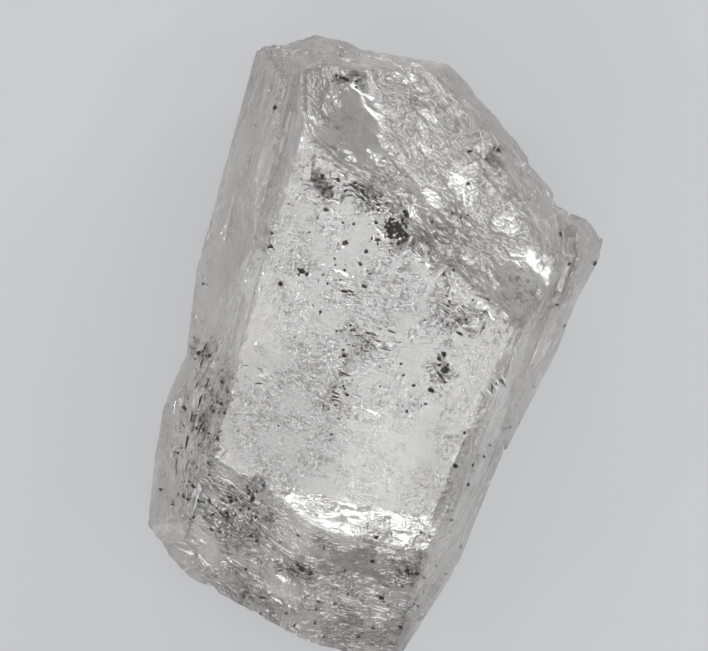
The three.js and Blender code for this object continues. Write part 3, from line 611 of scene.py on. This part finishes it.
def grainMesh():
    form = bmesh.new()
    bmesh.ops.create_icosphere(form, subdivisions=1, radius=1.0)
    rng = np.random.default_rng(grainValues["formSeed"])
    least, more = grainValues["formShare"]
    for corner in form.verts:
        corner.co *= least + more * rng.random()
    mesh = bpy.data.meshes.new("grain")
    form.to_mesh(mesh)
    form.free()
    return mesh


def patchyMaterial(name, colours, scale, edges, roughness, shine):
    material = bpy.data.materials.new(name)
    material.use_nodes = True
    tree = material.node_tree
    where = makeNode(tree, "ShaderNodeTexCoord").outputs["Object"]
    patch = noiseField(tree, where, scale, grainValues["patchDetail"])
    shader = tree.nodes["Principled BSDF"]
    tree.links.new(mixColours(tree, remap(tree, patch, *edges), *colours), shader.inputs["Base Color"])
    rough = remap(tree, patch, *grainValues["patchRange"], *roughness)
    tree.links.new(rough, shader.inputs["Roughness"])
    shader.inputs["Specular IOR Level"].default_value = shine
    return material


def randomVector(tree, low, high, seed):
    inputs = {0: (low, low, low), 1: (high, high, high), "Seed": seed}
    return makeNode(tree, "FunctionNodeRandomValue", inputs, data_type="FLOAT_VECTOR").outputs[0]


def scatterTree(surface, grain, material):
    tree, start, sockets = geometryTree("mineralGrains", grainValues["scatter"])
    skinInfo = makeNode(tree, "GeometryNodeObjectInfo", {"Object": surface})
    form = makeNode(tree, "GeometryNodeObjectInfo", {"Object": grain})
    specks = namedField(tree, "specks")
    where = tree.nodes.new("GeometryNodeInputPosition").outputs[0]
    clumps = noiseField(tree, where, *grainValues["clumpNoise"])
    clumps = remap(tree, clumps, *grainValues["clumpEdges"])
    crowding = maths(tree, "POWER", specks, grainValues["speckPower"])
    density = times(tree, crowding, start["Density"], clumps)
    seeds = grainValues["seeds"]
    points = makeNode(tree, "GeometryNodeDistributePointsOnFaces", {
        "Mesh": skinInfo.outputs["Geometry"], "Seed": seeds["points"], "Density": density})
    inputs = {"Seed": seeds["size"]}
    chance = makeNode(tree, "FunctionNodeRandomValue", inputs, data_type="FLOAT").outputs[1]
    size = makeNode(tree, "ShaderNodeMapRange", {
        "Value": maths(tree, "POWER", chance, grainValues["sizePower"]),
        "To Min": start["Smallest"], "To Max": start["Largest"]}).outputs[0]
    stretch = randomVector(tree, *grainValues["stretch"], seeds["stretch"])
    scale = makeNode(tree, "ShaderNodeVectorMath", {0: stretch, 3: size}, operation="SCALE").outputs[0]
    copies = makeNode(tree, "GeometryNodeInstanceOnPoints", {
        "Points": points.outputs["Points"], "Instance": form.outputs["Geometry"],
        "Rotation": randomVector(tree, *grainValues["turn"], seeds["turn"]), "Scale": scale})
    join = tree.nodes.new("GeometryNodeJoinGeometry")
    for part in (start["Geometry"], copies.outputs[0]):
        tree.links.new(part, join.inputs[0])
    endTree(tree, join.outputs[0], material)
    return tree, sockets


def laidOut(name, form, entries):
    whole = bmesh.new()
    rng = np.random.default_rng(grainValues["shapeSeed"])
    least, more = grainValues["cornerShare"]
    surface = skin.evaluated_get(bpy.context.evaluated_depsgraph_get())
    for right, up, length, width, turn in entries:
        x = right * math.cos(cameraTurn) - up * math.sin(cameraTurn) + cameraMiddle[0]
        y = right * math.sin(cameraTurn) + up * math.cos(cameraTurn) + cameraMiddle[1]
        drop = Vector((x * mm, y * mm, grainValues["above"] * mm))
        hit, spot, normal, _ = surface.ray_cast(drop, Vector((0, 0, -1)))
        if not hit:
            continue
        size = (length * 0.5 * mm, width * 0.5 * mm, width * grainValues["sink"] * mm, 1)
        lie = Matrix.Rotation(math.radians(turn) + cameraTurn, 4, "Z")
        lean = Vector((0, 0, 1)).rotation_difference(normal).to_matrix().to_4x4()
        place = Matrix.Translation(spot) @ lean @ lie @ Matrix.Diagonal(size)
        before = len(whole.verts)
        whole.from_mesh(form)
        whole.verts.ensure_lookup_table()
        for corner in whole.verts[before:]:
            corner.co = place @ (corner.co * (least + more * rng.random()))
    mesh = bpy.data.meshes.new(name)
    whole.to_mesh(mesh)
    whole.free()
    return mesh


form = meshObject("grainForm", grainMesh())
dark = [*largeGrains, *crowded(grainCrowds, *grainValues["grains"]),
        *crowded(strokeCrowds, *grainValues["strokes"])]
grains = meshObject("inclusions", laidOut("inclusions", form.data, dark))
# pale slivers, and pale flakes that are painted glints
pale = [*crowded(sliverCrowds, *grainValues["slivers"]), *crowded(paintedGlintCrowds, *grainValues["flakes"])]
slivers = meshObject("slivers", laidOut("slivers", form.data, pale))
slivers.data.materials.append(patchyMaterial("frostedSliverAndGlint", **grainValues["frostAndGlint"]))
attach(slivers, "root")
darkMineral = patchyMaterial("darkMineral", **grainValues["mineral"])
runTree(grains, *scatterTree(skin, form, darkMineral), grainValues["scatter"])
bpy.data.objects.remove(form)
for face in grains.data.polygons:
    face.use_smooth = False
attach(grains, "root")
print("grains placed", len(grains.data.polygons), "faces")


# Stage, light and camera. Lengths here are in metres, and in millimetres where it says so.

stageValues = {
    "floorColour": (0.10, 0.10, 0.102),
    "floorRoughness": 0.9,
    "glowColour": (0.97, 0.98, 1.0),
    "floorGlow": 0.42,
    "floorHalf": 0.3,
    "floorGap": 0.02,  # mm under the crystal
    "worldGrey": (0.52, 0.53, 0.55),
    "worldStrength": 1.0,
    # each light: place, size, power
    "lights": {
        "overhead": ((0.0, 0.0, 0.30), (0.26, 0.26), 0.27),
        "footLight": ((0.02, -0.22, 0.10), (0.16, 0.08), 0.17),
        "lowFootLight": ((-0.01, -0.26, 0.05), (0.11, 0.03), 0.09),
        "headLight": ((0.092, 0.198, 0.142), (0.18, 0.08), 0.28),
        "shoulderLight": ((-0.15, 0.21, 0.09), (0.18, 0.09), 0.16),
    },
    "sparkleTilts": (32, 48, 40),  # degrees from straight up, used in turn
    "sparkleCount": 7,
    "sparkleStep": 51.4,  # degrees around
    "sparkleStart": 12,
    "sparkleFar": 0.3,
    "sparkleSize": (0.026, 0.026),
    "sparklePower": 0.08,
    "pixel": 0.0133,  # mm that one pixel of the picture shows, at the focus height
    "pictureWidth": 708,
    "focusHeight": 2.0,  # mm
    "lookAt": (-0.146, 0.238),  # mm
    "lens": 600,
    "sensor": 36,
    "clip": (0.005, 2),
    "clearBounces": 11,  # how often light may pass through the crystal's faces
    "glossyBounces": 8,
    "diffuseBounces": 3,
}

floorMesh = bpy.data.meshes.new("floor")
half, low = stageValues["floorHalf"], -stageValues["floorGap"] * mm
floorMesh.from_pydata([(-half, -half, low), (half, -half, low), (half, half, low), (-half, half, low)],
                      [], [(0, 1, 2, 3)])
floor = meshObject("floor", floorMesh)
paper = bpy.data.materials.new("palePaper")
paper.use_nodes = True
shader = paper.node_tree.nodes["Principled BSDF"]
shader.inputs["Base Color"].default_value = (*stageValues["floorColour"], 1)
shader.inputs["Roughness"].default_value = stageValues["floorRoughness"]
shader.inputs["Emission Color"].default_value = (*stageValues["glowColour"], 1)
shader.inputs["Emission Strength"].default_value = stageValues["floorGlow"]
floorMesh.materials.append(paper)

world = bpy.data.worlds.new("studio")
scene.world = world
world.use_nodes = True
background = world.node_tree.nodes["Background"]
background.inputs["Color"].default_value = (*stageValues["worldGrey"], 1)
background.inputs["Strength"].default_value = stageValues["worldStrength"]


def softBox(name, spot, size, power):
    lamp = bpy.data.lights.new(name, "AREA")
    lamp.shape = "RECTANGLE"
    lamp.size, lamp.size_y = size
    lamp.energy = power
    obj = bpy.data.objects.new(name, lamp)
    scene.collection.objects.link(obj)
    obj.location = spot
    obj.rotation_euler = (-Vector(spot)).to_track_quat("-Z", "Y").to_euler()


for name, light in stageValues["lights"].items():
    softBox(name, *light)
for i in range(stageValues["sparkleCount"]):
    around = math.radians(i * stageValues["sparkleStep"] + stageValues["sparkleStart"])
    tilt = math.radians(stageValues["sparkleTilts"][i % len(stageValues["sparkleTilts"])])
    flat, high = math.sin(tilt), math.cos(tilt)
    spot = stageValues["sparkleFar"] * Vector((flat * math.cos(around), flat * math.sin(around), high))
    softBox(f"sparkle{i}", spot, stageValues["sparkleSize"], stageValues["sparklePower"])

camera = bpy.data.objects.new("camera", bpy.data.cameras.new("camera"))
scene.collection.objects.link(camera)
camera.data.sensor_width = stageValues["sensor"]
camera.data.lens = stageValues["lens"]
camera.data.clip_start, camera.data.clip_end = stageValues["clip"]
pictured = stageValues["pictureWidth"] * stageValues["pixel"] * mm
distance = pictured * camera.data.lens / camera.data.sensor_width
lookRight, lookUp = stageValues["lookAt"]
camera.location = (lookRight * mm, lookUp * mm, stageValues["focusHeight"] * mm + distance)
camera.rotation_euler = (0, 0, cameraTurn)
scene.camera = camera

scene.view_settings.view_transform = "Standard"
scene.cycles.max_bounces = scene.cycles.transmission_bounces = stageValues["clearBounces"]
scene.cycles.glossy_bounces = stageValues["glossyBounces"]
scene.cycles.diffuse_bounces = stageValues["diffuseBounces"]
print("stage set")
